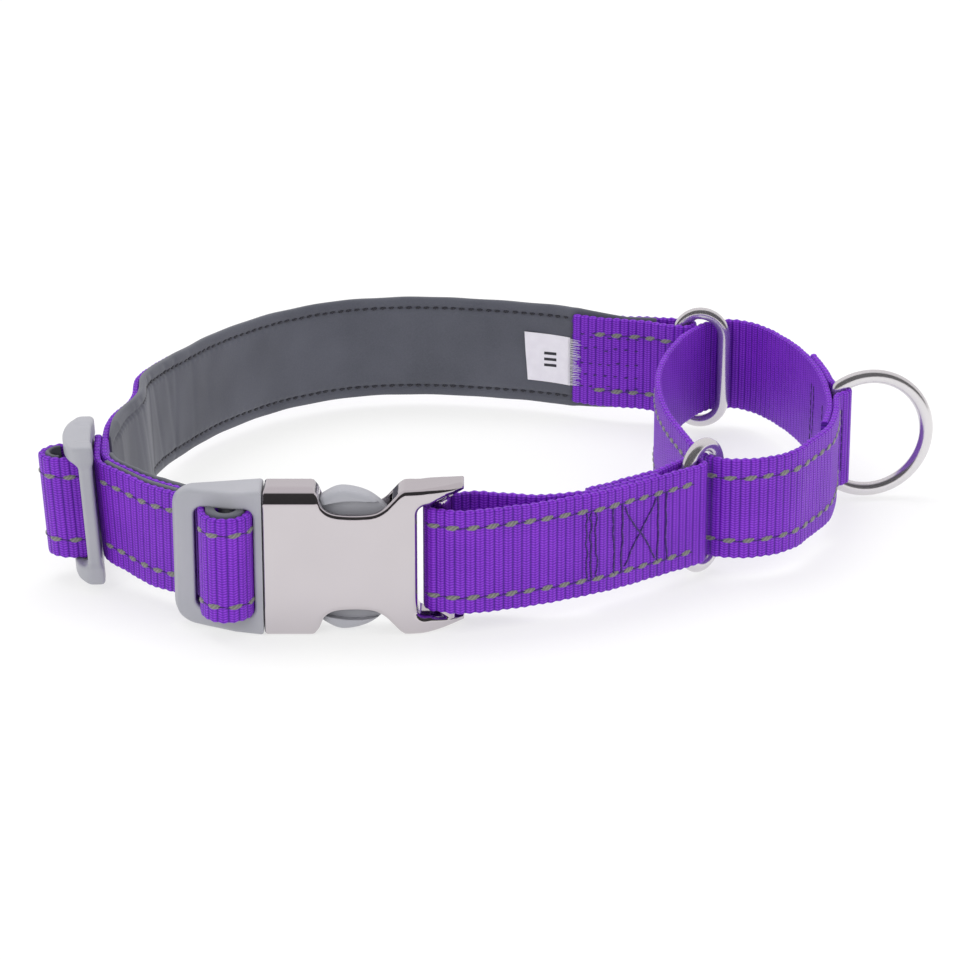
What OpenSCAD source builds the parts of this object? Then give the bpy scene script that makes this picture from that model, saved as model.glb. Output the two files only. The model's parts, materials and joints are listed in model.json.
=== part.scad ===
// Martingale training collar for a dog: a padded webbing strap with a slider and a side-release
// buckle, closed by a small control loop that runs through two oval rings and carries the leash ring.
// Millimetres. +X runs from the slider to the leash ring, +Y away from the buckle, +Z up.
// The collar stands on its lower edges at Z = 0, with its box centred on the Z axis.

/* [Webbing] */
// Width of all webbing
webbing_w = 25.4; // [20:0.1:26]
// Thickness of one layer of webbing
webbing_t = 1.7; // [1.2:0.1:1.9]
// Air between two layers that lie on each other
layer_gap = 0.1; // [0.05:0.01:0.15]

/* [Padding] */
// Height of the padding, a little more than the webbing
padding_h = 28.6; // [27:0.1:30]
// Thickness of the padding behind the long strap
padding_t = 2.6; // [2:0.1:2.8]
// Thickness of the thin lining on the adjuster layers
lining_t = 1.4; // [1:0.1:1.5]
// Side of the square size label
label_w = 13.8; // [10:0.1:14]
// Thickness of the size label
label_t = 0.4; // [0.3:0.1:0.5]

/* [Buckle] */
// Height of the buckle
buckle_h = 35.5; // [34:0.1:38]
// Thickness of the buckle's shell
buckle_t = 10.5; // [10:0.1:12]
// Length of the shell from its mouth to the tips of its ears
shell_l = 46.7; // [46:0.1:48]
// Wall of the shell
shell_wall = 1.6; // [1.4:0.1:1.9]
// Depth of the finger notches in the shell's edges
notch_d = 6; // [5:0.1:6.5]
// Radius of the shell's upper front edge
shell_round = 4.5; // [3:0.1:5]
// Radius of the shell's lower front edge
shell_bevel = 1.2; // [0.8:0.1:3]
// Length of the plastic frame outside the shell
frame_l = 21.6; // [21:0.1:22]
// Height of the frame's webbing window
window_h = 27.6; // [27:0.1:29]
// Radius of the bars that the webbing turns round
bar_r = 2.1; // [1.8:0.1:2.2]

/* [Slider] */
// Length of the slider along the strap
slider_l = 24; // [23:0.1:24]
// Height of the slider
slider_h = 34; // [33:0.1:36]
// Thickness of the slider's bars
slider_t = 3.2; // [2.8:0.1:3.4]
// How far the slider's rails arch out from the strap
slider_arch = 6.8; // [6:0.1:7]

/* [Rings] */
// Height of the three rings
ring_h = 34; // [33:0.1:34]
// Width of the two oval rings
oval_w = 16; // [16:0.1:17]
// Wire of the oval rings
oval_wire = 3.3; // [3:0.1:3.4]
// Wire of the leash ring
leash_wire = 3.5; // [3:0.1:3.6]
// Straight legs of the leash ring
leash_leg = 6.1; // [5:0.1:7]

/* [Stitching] */
// Distance from the middle of the webbing to each row of reflective thread
row_z = 8; // [7:0.1:9]
// Height of a row of thread
row_h = 1.2; // [0.8:0.1:1.4]
// Thickness of a row of thread
row_t = 0.25; // [0.2:0.01:0.3]

/* [Hidden] */
$fn = 48;

purple = [0.46, 0.14, 0.78];
thread_grey = [0.5, 0.5, 0.48];
thread_purple = [0.24, 0.04, 0.45];
lining_grey = [0.4, 0.4, 0.43];
plastic_grey = [0.62, 0.62, 0.66];
chrome = [0.8, 0.79, 0.8];

// Where the drawing's zero point lies from the collar's own origin
shift = [-5.2, -27.3, buckle_h/2];
half_t = webbing_t/2;
pitch = webbing_t + layer_gap;       // from layer to layer
pressed_t = 1.2;                     // padding pressed flat under the strap's tail
tail_out = pitch + pressed_t + layer_gap;
steps = 6;                           // points between two knots of a curve
stitch_air = 0.03;                   // keeps a row of thread just clear of its webbing
buckle_front = -59;
buckle_back = buckle_front + buckle_t;
shell_x = -50;                       // mouth of the shell
ear_x = shell_x + shell_l;
slot_x = -14.5;                      // left edge of the shell's webbing slot
wire_r = oval_wire/2;
oval_r = oval_w/2 - wire_r;          // centre line of an oval ring's round ends
oval_leg = ring_h - oval_w;
leash_r = ring_h/2 - leash_wire/2;
leash_corner = 3;
wrap_r = wire_r + 0.55 + half_t;     // webbing turned round a ring's wire, with play
wrap_play = 1.4;
back_wire = [54, 94.3];              // wires that lie in the two sewn folds
front_wire = [49.6, -23.4];
back_ring_turn = -8;                 // each oval ring's plane, from +X
front_ring_turn = 51;
front_bar = [-8.2, -52.4];           // the shell's crossbar
frame_bar = [-58.6, -51.6];          // the bar in the frame's window
strap_lean = 5.15;                   // lean of the straight strap under the slider
slider_at = [-91, -19];              // strap's centre line under the slider's middle
leash_bar = [91.65, 35.5];

// ---- Curves ----
function curve_point(a, b, c, d, t) =
    0.5*(2*b + (c - a)*t + (2*a - 5*b + 4*c - d)*t*t + (3*b - a - 3*c + d)*t*t*t);
// A smooth curve through knots
function curve(k, last = 1) = concat([for (i = [0:len(k) - 2], j = [0:steps - 1])
    curve_point(k[max(i - 1, 0)], k[i], k[i + 1], k[min(i + 2, len(k) - 1)], j/steps)],
    last == 1 ? [k[len(k) - 1]] : []);
// A smooth closed curve through knots
function closed_curve(k) = let (n = len(k)) [for (i = [0:n - 1], j = [0:steps - 1])
    curve_point(k[(i + n - 1)%n], k[i], k[(i + 1)%n], k[(i + 2)%n], j/steps)];
function arc(c, r, from, to, n = 10) =
    [for (i = [0:n]) let (a = from + (to - from)*i/n) c + r*[cos(a), sin(a)]];
function reversed(p) = [for (i = [len(p) - 1:-1:0]) p[i]];
function left_of(d) = [-d[1], d[0]]/norm(d);
// A path moved to its left by s
function moved(p, s) = [for (i = [0:len(p) - 1])
    p[i] + s*left_of(p[min(i + 1, len(p) - 1)] - p[max(i - 1, 0)])];
function from_x(p, low, high) = [for (q = p) if (q[0] > low && q[0] < high) q];
function from_y(p, low, high) = [for (q = p) if (q[1] > low && q[1] < high) q];

// ---- Paths of the webbing's centre line, neck side on the left ----
back_run = curve([[54.4, 97.35], [47.3, 98.6], [39.2, 100.1], [33.5, 101.9], [28.2, 104.2],
    [22.9, 106.9], [16, 109.4], [7, 112], [-2, 113.9], [-11, 115.4], [-22, 115.6], [-34, 113.6],
    [-43.5, 109.8], [-52.3, 103.9], [-58.5, 98.6], [-65.7, 90.2], [-73.4, 78.8], [-78.1, 69.4],
    [-82.9, 58.1], [-87.6, 45], [-90.9, 34.4], [-93, 23], [-93.75, 11.6]]);
tail_run = concat(reversed(moved(from_x(back_run, 27.2, 43.5), tail_out)),
    curve([[46.6, 94.9], [49.6, 92.9], [52.3, 91.5]]));
back_path = concat(tail_run,
    arc(back_wire + [wrap_play, -0.2], wrap_r, -98, 82), from_x(back_run, -200, 53));
adjuster_run = curve([[-93.6, 9.9], [-92.1, -7], [-91, -19], [-89.9, -23.5], [-87.6, -26.8],
    [-83.4, -30], [-78.2, -34.5], [-73, -39], [-69.1, -41.6], [-64.5, -43.2], [-60, -44.4]]);
frame_run = curve([[-60, -44.4], [-55.6, -46], [-53.8, -50], [-53.7, -54.5], [-55, -58.9],
    [-58.4, -61.2], [-62, -58.9], [-63.8, -54.6], [-64.4, -51], [-65.3, -48], [-67.9, -46.2],
    [-71.3, -44.2]]);
outer_run = curve([[-71.3, -44.2], [-75.2, -41.4], [-80.4, -37], [-85.6, -32.6], [-88.5, -30.4],
    [-91.2, -27.2], [-92.4, -23], [-92.8, -19], [-93.9, -7]]);
adjuster_path = concat(adjuster_run, [for (i = [1:len(frame_run) - 2]) frame_run[i]], outer_run);
front_run = curve([[-9.6, -56], [-4.6, -57.6], [4.5, -55.4], [13.6, -51.7], [18.4, -49.4],
    [23.1, -47], [27.9, -44.4], [32.6, -40.8], [37.4, -37], [42.3, -33.1], [47.5, -29.2]]);
sewn_run = moved(from_x(front_run, 26.5, 44), pitch);
inner_run = curve([[25.3, -43.9], [19.5, -45.3], [13.6, -46.6], [4.7, -45], [-2.3, -44.4],
    [-7.4, -46.6], [-11, -50]], 0);
front_path = concat(reversed(sewn_run), inner_run, arc(front_bar, bar_r + 1.2 + half_t, 170, 235, 5),
    front_run, arc(front_wire + wrap_play*[0.78, 0.62], wrap_r, -51, 129),
    reversed(moved(from_x(front_run, 27, 45), 2*pitch)));
loop_run = closed_curve([[85.6, 8], [88.2, 22], [88.8, 36], [88.3, 50], [86.4, 64], [83.2, 76],
    [79.2, 86], [75, 92.4], [70.5, 95.9], [65, 96.1], [60.6, 92.9], [57.2, 87.2], [53.6, 79],
    [49.4, 65], [46.8, 51], [45.8, 38], [46.1, 25], [47.5, 13], [49.6, 1.5], [51.6, -8],
    [54.5, -17], [58.5, -20.3], [63, -21], [68, -19.7], [73, -17], [77.8, -12], [82, -3]]);
// The last points of the loop step out by one layer, to lie over its start
step_out = 8;
loop_turn = [for (i = [0:len(loop_run) - 1]) let (n = len(loop_run))
    loop_run[i] - pitch*max(0, (i + 1 - n + step_out)/step_out)
        *left_of(loop_run[(i + 1)%n] - loop_run[(i + n - 1)%n])];
outer_side = from_x(loop_run, 83.6, 100);
// The loop's outer layer between two distances along Y from the leash ring's bar
function beside_bar(low, high) =
    moved(from_y(outer_side, leash_bar[1] + low, leash_bar[1] + high), -pitch);
// The outer layer, over the leash ring's bar, to its cut end
loop_overlap = concat(beside_bar(-26, -6.5),
    curve([for (k = [[-0.85, -6], [-0.2, -4.4], [1.2, -2.9], [2.5, -1.6], [2.85, 0], [2.5, 1.6],
        [1.2, 2.9], [-0.2, 4.4], [-0.85, 6]]) leash_bar + k]), beside_bar(6.5, 30));
loop_path = concat(loop_turn, loop_overlap);

// A strap stood on edge along a path, from near to far on its left
module strap(path, near, far, height, z = 0)
    translate([0, 0, z]) linear_extrude(height, center = true)
        polygon(concat(moved(path, near), reversed(moved(path, far))));
// Two rows of thread on the side of a path away from the neck
module outer_rows(path)
    for (z = [-row_z, row_z])
        strap(path, -half_t - stitch_air - row_t, -half_t - stitch_air, row_h, z);
module oval_ring()
    for (s = [0, 1]) mirror([0, 0, s]) {
        cylinder(h = oval_leg/2, r = wire_r);
        translate([2*oval_r, 0, 0]) cylinder(h = oval_leg/2, r = wire_r);
        translate([oval_r, 0, oval_leg/2]) rotate([90, 0, 0])
            rotate_extrude(angle = 180) translate([oval_r, 0]) circle(r = wire_r);
    }

// ---- Back strap ----
module back_webbing() color(purple) strap(back_path, -half_t, half_t, webbing_w);
padding_near = half_t + layer_gap;
module neck_padding() color(lining_grey) linear_extrude(padding_h, center = true)
    polygon(concat(moved(from_x(back_run, -93.75, 43), padding_near),
        reversed(concat(moved(from_x(back_run, 26.6, 43), padding_near + pressed_t),
            moved(from_x(back_run, -93.75, 24), padding_near + padding_t)))));
module size_label() color("white")
    strap(from_x(back_run, 26.6 - label_w, 26.6), padding_near + padding_t + 0.05,
        padding_near + padding_t + 0.05 + label_t, label_w);
module back_reflective_thread() color(thread_grey) outer_rows(from_x(back_run, -200, 50));
module padding_stitching() color(thread_purple)
    for (z = [-1, 1]) strap(from_x(back_run, -93, 12), padding_near + padding_t + stitch_air,
        padding_near + padding_t + stitch_air + row_t, 0.6, z*(padding_h/2 - 3));
module back_tail_stitching() color(thread_purple)
    for (z = [-7:3.5:7]) strap(from_x(back_run, 28.5, 42), tail_out + half_t + stitch_air,
        tail_out + half_t + stitch_air + row_t, 0.6, z);

// ---- Adjuster: the webbing loop between slider and buckle ----
module adjuster_webbing() color(purple) strap(adjuster_path, -half_t, half_t, webbing_w);
module adjuster_inner_lining() color(lining_grey)
    strap(from_x(adjuster_run, -90.8, -62), half_t + layer_gap, half_t + layer_gap + lining_t,
        webbing_w);
module adjuster_outer_lining() color(lining_grey)
    strap(reversed(from_x(outer_run, -87.8, -72)), half_t + layer_gap,
        half_t + layer_gap + lining_t, webbing_w);
module adjuster_reflective_thread() color(thread_grey) {
    outer_rows(reversed(from_x(outer_run, -90.4, -72)));
    outer_rows(reversed(from_y(frame_run, -70, -50.5)));
}

// ---- Slider ----
module at_slider() translate(slider_at) rotate(90 + strap_lean) children();
slider_in = half_t + pitch + layer_gap + 0.1;   // slider's flat side, from the strap's centre line
bar_w = 4.7;
rail_h = (slider_h - webbing_w)/2 - 0.4;
rail_arch = concat([[-slider_l/2, 0], [slider_l/2, 0]],
    [for (i = [0:16]) let (a = 180*i/16) [slider_l/2*cos(a), slider_t + (slider_arch - slider_t)*sin(a)]]);
module slider_frame() color(plastic_grey) at_slider() {
    for (s = [-1, 1]) {
        translate([0, slider_in, s*(slider_h - rail_h)/2])
            linear_extrude(rail_h, center = true) polygon(rail_arch);
        translate([s*(slider_l - bar_w)/2, slider_in + slider_t/2, 0])
            cube([bar_w, slider_t, slider_h], center = true);
    }
    translate([0, slider_in + 4.6, 0]) cylinder(h = slider_h - rail_h, r = 1.9, center = true);
}
bump_r = 5.2;
bump_rise = 7;
bump_path = concat([[bump_r, 0.95]], arc([0, bump_rise], bump_r, 0, 180, 16), [[-bump_r, 0.95]]);
module slider_webbing() color(purple) at_slider() translate([0, slider_in, 0])
    strap(bump_path, -half_t, half_t, webbing_w);
module slider_lining() color(lining_grey) at_slider() translate([0, slider_in, 0])
    strap(arc([0, bump_rise], bump_r, 15, 165, 14), half_t + 0.05, half_t + 1.05, webbing_w);
module slider_reflective_thread() color(thread_grey) at_slider() translate([0, slider_in, 0])
    outer_rows(arc([0, bump_rise], bump_r, 5, 175, 14));

// ---- Buckle ----
// A flat outline in XZ, pushed through the buckle
module through_y(low, high) translate([0, high, 0]) rotate([90, 0, 0])
    linear_extrude(high - low) children();
function rounded_box(w, h, r) = concat(arc([w - r, h - r], r, 0, 90, 6), arc([r, h - r], r, 90, 180, 6),
    arc([r, r], r, 180, 270, 6), arc([w - r, r], r, 270, 360, 6));
frame_x = shell_x - 0.2 - frame_l;
frame_side = [[frame_x + 0.4, -48.9], [frame_x, -50.2], [frame_x + 1.3, -52.4], [-64, -55.4],
    [-57, -58.2], [shell_x - 0.2, buckle_front - 0.1], [shell_x - 0.2, buckle_back],
    [-53, buckle_back], [-60, -48.7]];
tongue_half = 5.5;
latch_in = 0.5;                      // latch parts' air to the shell's front and back walls
module buckle_frame() color(plastic_grey) {
    intersection() {
        linear_extrude(buckle_h, center = true) polygon(frame_side);
        through_y(-70, -40) difference() {
            translate([frame_x, -buckle_h/2]) difference() {
                polygon(rounded_box(frame_l + 5, buckle_h, 5));
                translate([frame_l, -1]) square([10, buckle_h + 2]);
            }
            translate([-66.2, -window_h/2]) polygon(rounded_box(14, window_h, 2.2));
        }
    }
    translate([frame_bar[0], frame_bar[1], 0])
        cylinder(h = window_h + 3, r = bar_r, center = true);
    through_y(buckle_front + shell_wall + latch_in, buckle_back - shell_wall - latch_in)
        translate([shell_x - 0.7, -tongue_half]) square([26, 2*tongue_half]);
}
latch_outline = concat(curve([[-49.4, 12.2], [-43, 12.4], [-38.2, 13.4], [-36.2, 15.4], [-32, 17.2], [-26, 15.9],
    [-21.4, 12.2], [-21, 9.6]]), curve([[-23, 8.6], [-31, 8.2], [-40, 7.8], [-49.4, 8]]));
module latch_arm() color(plastic_grey)
    through_y(buckle_front + shell_wall + latch_in, buckle_back - shell_wall - latch_in)
        polygon(latch_outline);
module upper_latch() latch_arm();
module lower_latch() mirror([0, 0, 1]) latch_arm();

waist = buckle_h/2 - notch_d;
// Upper edge of the shell from mouth to ear tip, with the finger notch
shell_edge = concat([[shell_x, buckle_h/2], [-38.6, buckle_h/2]],
    curve([[-37.9, buckle_h/2 - 0.6], [-36.6, waist + 2.2], [-34, waist + 0.3], [-29, waist],
        [-24.5, waist + 0.2], [-21.6, waist + 1.9], [-19.6, waist + 4.4], [-17.4, buckle_h/2 - 0.2]]),
    [[-16.4, buckle_h/2], [-12, buckle_h/2], [ear_x, 17], [ear_x, 15.3], [slot_x + 3, 13.6]],
    arc([slot_x + 2, 11.6], 2, 90, 180, 4));
shell_side = concat([[shell_x, buckle_back], [shell_x, buckle_front]],
    curve([[-18, buckle_front], [-12.5, buckle_front + 1.1], [-8, buckle_front + 3.8], [ear_x, -50.8]]),
    [[ear_x, -44.4], [-9, buckle_back + 2], [-14, buckle_back]]);
function flipped(p) = [for (q = reversed(p)) [q[0], -q[1]]];
module shell_ends() rotate([90, 0, 90]) linear_extrude(shell_l + 2)
    polygon(concat([[-40, -buckle_h/2], [-40, buckle_h/2]],
        arc([buckle_front + shell_round, buckle_h/2 - shell_round], shell_round, 90, 180, 8),
        arc([buckle_front + shell_bevel, -buckle_h/2 + shell_bevel], shell_bevel, 180, 270, 8)));
module buckle_shell() color(chrome) {
    difference() {
        intersection() {
            linear_extrude(buckle_h, center = true) polygon(shell_side);
            through_y(-70, -40) polygon(concat(shell_edge, flipped(shell_edge)));
            translate([shell_x - 1, 0, 0]) shell_ends();
        }
        through_y(buckle_front + shell_wall, buckle_back - shell_wall)
            translate([shell_x - 1, -15]) square([31.5, 30]);
    }
    translate([front_bar[0], front_bar[1], 0])
        cylinder(h = 2*15.6, r = bar_r, center = true);
}

// ---- Front strap ----
module front_webbing() color(purple) strap(front_path, -half_t, half_t, webbing_w);
module front_reflective_thread() color(thread_grey) outer_rows(from_x(front_run, -8, 46.5));
module front_box_stitching() color(thread_purple) for (z = [-1, 1])
    strap(from_x(front_run, 30, 44.5), -half_t - stitch_air - row_t, -half_t - stitch_air, 0.8, z*6);

// ---- Rings ----
module front_ring() color(chrome) translate(front_wire) rotate(front_ring_turn) oval_ring();
module back_ring() color(chrome) translate(back_wire) rotate(back_ring_turn) oval_ring();

// ---- Control loop ----
module control_loop_webbing() color(purple) strap(loop_path, -half_t, half_t, webbing_w);
module loop_reflective_thread() color(thread_grey) {
    outer_rows(concat(from_y(from_x(loop_turn, 55, 100), -30, 7.9), beside_bar(-26, -16)));
    outer_rows(from_y(from_x(loop_run, 68, 100), leash_bar[1] + 34, 100));
}
module loop_box_stitching() color(thread_purple) for (side = [-12, 14], z = [-6, 6])
    strap(beside_bar(side - 4, side + 4), -half_t - stitch_air - row_t, -half_t - stitch_air, 0.8, z);

// ---- Leash ring ----
// A D in the XZ plane: its bar at the origin, its bow towards +X
module leash_ring() color(chrome) translate(leash_bar) rotate(9) for (s = [0, 1]) mirror([0, 0, s]) {
    cylinder(h = leash_r - leash_corner, r = leash_wire/2);
    translate([leash_corner, 0, leash_r - leash_corner]) rotate([90, 0, 0]) rotate(90)
        rotate_extrude(angle = 90) translate([leash_corner, 0]) circle(r = leash_wire/2);
    translate([leash_corner, 0, leash_r]) rotate([0, 90, 0])
        cylinder(h = leash_leg, r = leash_wire/2);
    translate([leash_corner + leash_leg, 0, 0]) rotate([90, 0, 0])
        rotate_extrude(angle = 90) translate([leash_r, 0]) circle(r = leash_wire/2);
}

module placed() translate(shift) children();
placed() back_webbing();
placed() neck_padding();
placed() size_label();
placed() back_reflective_thread();
placed() padding_stitching();
placed() back_tail_stitching();
placed() adjuster_webbing();
placed() adjuster_inner_lining();
placed() adjuster_outer_lining();
placed() adjuster_reflective_thread();
placed() buckle_frame();
placed() upper_latch();
placed() lower_latch();
placed() slider_frame();
placed() slider_webbing();
placed() slider_lining();
placed() slider_reflective_thread();
placed() buckle_shell();
placed() front_webbing();
placed() front_reflective_thread();
placed() front_box_stitching();
placed() front_ring();
placed() back_ring();
placed() control_loop_webbing();
placed() loop_reflective_thread();
placed() loop_box_stitching();
placed() leash_ring();
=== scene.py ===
"""The looks of a martingale dog collar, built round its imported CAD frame.
"""
import functools
import json
import math
import bpy
import numpy as np
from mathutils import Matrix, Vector


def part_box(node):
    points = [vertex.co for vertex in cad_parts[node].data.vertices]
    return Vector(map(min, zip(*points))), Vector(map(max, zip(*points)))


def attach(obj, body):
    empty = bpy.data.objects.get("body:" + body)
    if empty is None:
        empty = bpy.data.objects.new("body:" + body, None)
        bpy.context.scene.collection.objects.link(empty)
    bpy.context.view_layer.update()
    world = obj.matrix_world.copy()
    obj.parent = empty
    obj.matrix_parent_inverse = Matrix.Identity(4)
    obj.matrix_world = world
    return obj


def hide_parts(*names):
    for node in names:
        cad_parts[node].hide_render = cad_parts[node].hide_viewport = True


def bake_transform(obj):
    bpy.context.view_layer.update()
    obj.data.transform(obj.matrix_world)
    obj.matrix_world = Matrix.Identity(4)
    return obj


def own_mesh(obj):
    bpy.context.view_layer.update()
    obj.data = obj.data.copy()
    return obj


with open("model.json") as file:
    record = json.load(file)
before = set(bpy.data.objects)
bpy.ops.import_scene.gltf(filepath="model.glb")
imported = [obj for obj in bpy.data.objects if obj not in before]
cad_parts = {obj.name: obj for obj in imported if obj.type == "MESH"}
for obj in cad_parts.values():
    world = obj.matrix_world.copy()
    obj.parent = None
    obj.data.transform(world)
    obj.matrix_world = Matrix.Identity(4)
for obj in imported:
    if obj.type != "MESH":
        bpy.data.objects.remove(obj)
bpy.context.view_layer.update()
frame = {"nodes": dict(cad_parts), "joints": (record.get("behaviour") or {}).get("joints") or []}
rng = np.random.default_rng(11)
MM = 0.001

# ---- Sizes ----
STEP = 0.225  # distance between two sections of a strap
RIB = 1.125  # width of a narrow rib of the weave; each wide one is two of these
YARN = 0.62  # height of one row of the weave
RELIEF = 0.07  # depth of the grooves between ribs
SCALLOP = 0.14  # depth of the loops along the webbing's edges
DASH_PITCH = 4.6  # distance between two reflective stitches
DASH_LENGTH = 3.3  # length of a reflective stitch
DASH_HALF = 0.62  # half the height of a reflective stitch
ROW_Z = 8.0  # height of a reflective row above the webbing's middle
WEB_T = 1.7  # thickness of the webbing


def box_mm(node):
    low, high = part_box(node)
    return np.array(low) / MM, np.array(high) / MM


web_low, web_high = box_mm("back_webbing")
MID_Z = (web_low[2] + web_high[2]) / 2
WEB_W = web_high[2] - web_low[2]
HALF_T = WEB_T / 2
SHIFT = np.array([-5.2, -27.3, MID_Z])  # the drawing's zero point in the row frame


# ---- Lines read from the CAD straps ----
def outline(node):
    """The rim of a CAD strap's top face, seen from above, in order."""
    mesh = frame["nodes"][node].data
    co = np.array([v.co for v in mesh.vertices]) / MM
    top = co[:, 2].max()
    keys = {}
    ids = [keys.setdefault(tuple(p), len(keys)) for p in co.round(3)]
    points = np.array(list(keys))
    count = {}
    for poly in mesh.polygons:
        v = [ids[i] for i in poly.vertices]
        if all(points[i][2] > top - 0.01 for i in v) and len(set(v)) > 2:
            for a, b in zip(v, v[1:] + v[:1]):
                count.setdefault(frozenset((a, b)), []).append((a, b))
    after = {a: b for e in count.values() if len(e) == 1 for a, b in e}
    loop = [next(iter(after))]
    while after[loop[-1]] != loop[0]:
        loop.append(after[loop[-1]])
    return points[loop][:, :2]


def centre_line(node, toward):
    """The middle line of a CAD strap, starting at the end that lies farther along toward."""
    loop = outline(node)
    half = len(loop) // 2
    best = None
    for turn in range(len(loop)):
        q = np.roll(loop, -turn, axis=0)
        a, b = q[:half], q[half:][::-1]
        spread = np.ptp(np.hypot(*(a - b).T))
        if best is None or spread < best[0]:
            best = (spread, (a + b) / 2)
    line = best[1]
    return line if (line[0] - line[-1]) @ np.array(toward) > 0 else line[::-1]


LEAN, LEAN_SHIFT, LEAN_RISE = 0.062, 1.4, 1.7  # slope, step to the right, step up
LEAN_REACH, LEAN_FADE = 18, 16  # how far from the left end it is felt, and fades in
TURN_PUSH, TURN_Y, TURN_HALF = 4.9, -5.3, 15  # the rounding of the turn behind the slider


def unit(x):
    """x held between 0 and 1."""
    return np.clip(x, 0, 1)


def smooth(x):
    """A share of 0 to 1 that starts and stops gently."""
    return x * x * (3 - 2 * x)


def settle(p):
    """The strap's left turn and its slider lean over a little and sit higher than the rest."""
    w = smooth(unit((web_low[0] + LEAN_REACH - p[..., 0]) / LEAN_FADE))
    z = p[..., 2] - MID_Z
    bend = TURN_PUSH * np.exp(-((p[..., 1] - TURN_Y) / TURN_HALF) ** 2)
    return p + np.stack([w * (LEAN_SHIFT + bend - LEAN * z), 0 * z, w * LEAN_RISE], -1)


def spline(k):
    """A smooth curve through all knots but the first and the last, which only steer it."""
    t = np.linspace(0, 1, 8, endpoint=False)[:, None]
    parts = [0.5 * (2 * b + (c - a) * t + (2 * a - 5 * b + 4 * c - d) * t**2
                    + (3 * b - a - 3 * c + d) * t**3)
             for a, b, c, d in zip(k, k[1:], k[2:], k[3:])]
    return np.vstack(parts + [k[-2:-1]])


def run_length(points):
    """Distance walked along points, from 0 at the first."""
    return np.concatenate([[0], np.cumsum(np.hypot(*np.diff(points, axis=0).T))])


def sample(x, run, points):
    """The places at x along points whose distances are run."""
    return np.stack([np.interp(x, run, points[:, i]) for i in (0, 1)], -1)


LINE_STEP = 0.1


class Line:
    """A smooth line in plan with its arc length, its direction and its left side."""

    def __init__(self, knots, sigma=0.5):
        dense = spline(np.vstack([2 * knots[0] - knots[1], knots, 2 * knots[-1] - knots[-2]]))
        run = run_length(dense)
        count = int(run[-1] / LINE_STEP) + 2
        self.s = np.linspace(0, run[-1], count)
        p = sample(self.s, run, dense)
        reach = int(4 * sigma / LINE_STEP)
        x = np.arange(-reach, reach + 1) * LINE_STEP
        kernel = np.exp(-x**2 / (2 * sigma**2))
        kernel /= kernel.sum()
        pad = np.vstack([2 * p[0] - p[reach:0:-1], p, 2 * p[-1] - p[-2:-reach - 2:-1]])
        self.p = np.stack([np.convolve(pad[:, i], kernel, "valid") for i in (0, 1)], 1)
        d = np.gradient(self.p, axis=0)
        self.d = d / np.hypot(*d.T)[:, None]
        self.length = self.s[-1]

    def at(self, s):
        """Points, directions and left sides at arc lengths s, which may run a little past the ends."""
        s = np.asarray(s, float)
        inside = np.clip(s, 0, self.length)
        p, d = sample(inside, self.s, self.p), sample(inside, self.s, self.d)
        d /= np.linalg.norm(d, axis=-1, keepdims=True)
        p = p + d * (s - inside)[..., None]
        return p, d, np.stack([-d[..., 1], d[..., 0]], -1)

    def place(self, s, n, z):
        """Points at arc length s, n to the left of the line and z above the webbing's middle."""
        p, d, left = self.at(s)
        flat = p + left * np.asarray(n)[..., None]
        up = (np.asarray(z) + MID_Z)[..., None] + 0 * flat[..., :1]
        return settle(np.concatenate([flat, up], -1))

    def pushed(self, at, amount, width):
        """The same line bulging out to its left round one place."""
        push = amount * np.exp(-((self.s - at) / width) ** 2)
        return Line(self.p + np.stack([-self.d[:, 1], self.d[:, 0]], 1) * push[:, None])

    def near(self, point, after=0.0, before=1e9):
        """Arc length at the line's nearest place to a point, looked for between two arc lengths."""
        gap = np.hypot(*(self.p - np.array(point)).T) + 1e6 * ((self.s < after) | (self.s > before))
        return float(self.s[gap.argmin()])


back = Line(centre_line("back_webbing", (1, 0)))
adjuster = Line(centre_line("adjuster_webbing", (0, 1)))
front = Line(centre_line("front_webbing", (1, 0)), sigma=0.4)
loop = Line(centre_line("control_loop_webbing", (0, -1)), sigma=0.7)


# ---- Meshes ----
def add_object(name, data):
    obj = bpy.data.objects.new(name, data)
    bpy.context.scene.collection.objects.link(obj)
    return obj


def circle(count):
    """Angles once round."""
    return np.linspace(0, 2 * math.pi, count, endpoint=False)


def add_mesh(name, verts, faces, uvs=None, normals=None, sharp=None):
    """Makes an object from arrays; uvs and normals are per vertex, sharp holds two rims of vertices."""
    mesh = bpy.data.meshes.new(name)
    mesh.from_pydata((np.asarray(verts) * MM).tolist(), [], [list(map(int, f)) for f in faces])
    mesh.polygons.foreach_set("use_smooth", [True] * len(mesh.polygons))
    if uvs is not None:
        layer = mesh.uv_layers.new(name="UVMap")
        index = np.zeros(len(mesh.loops), np.int32)
        mesh.loops.foreach_get("vertex_index", index)
        layer.data.foreach_set("uv", (np.asarray(uvs)[index] * 0.01).astype(np.float32).ravel())
    if sharp is not None:
        flags = [set(e.vertices) <= sharp[0] or set(e.vertices) <= sharp[1] for e in mesh.edges]
        attribute = mesh.attributes.new("sharp_edge", "BOOLEAN", "EDGE")
        attribute.data.foreach_set("value", flags)
    if normals is not None:
        mesh.normals_split_custom_set_from_vertices(np.asarray(normals).tolist())
    mesh.validate()
    return add_object(name, mesh)


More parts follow.
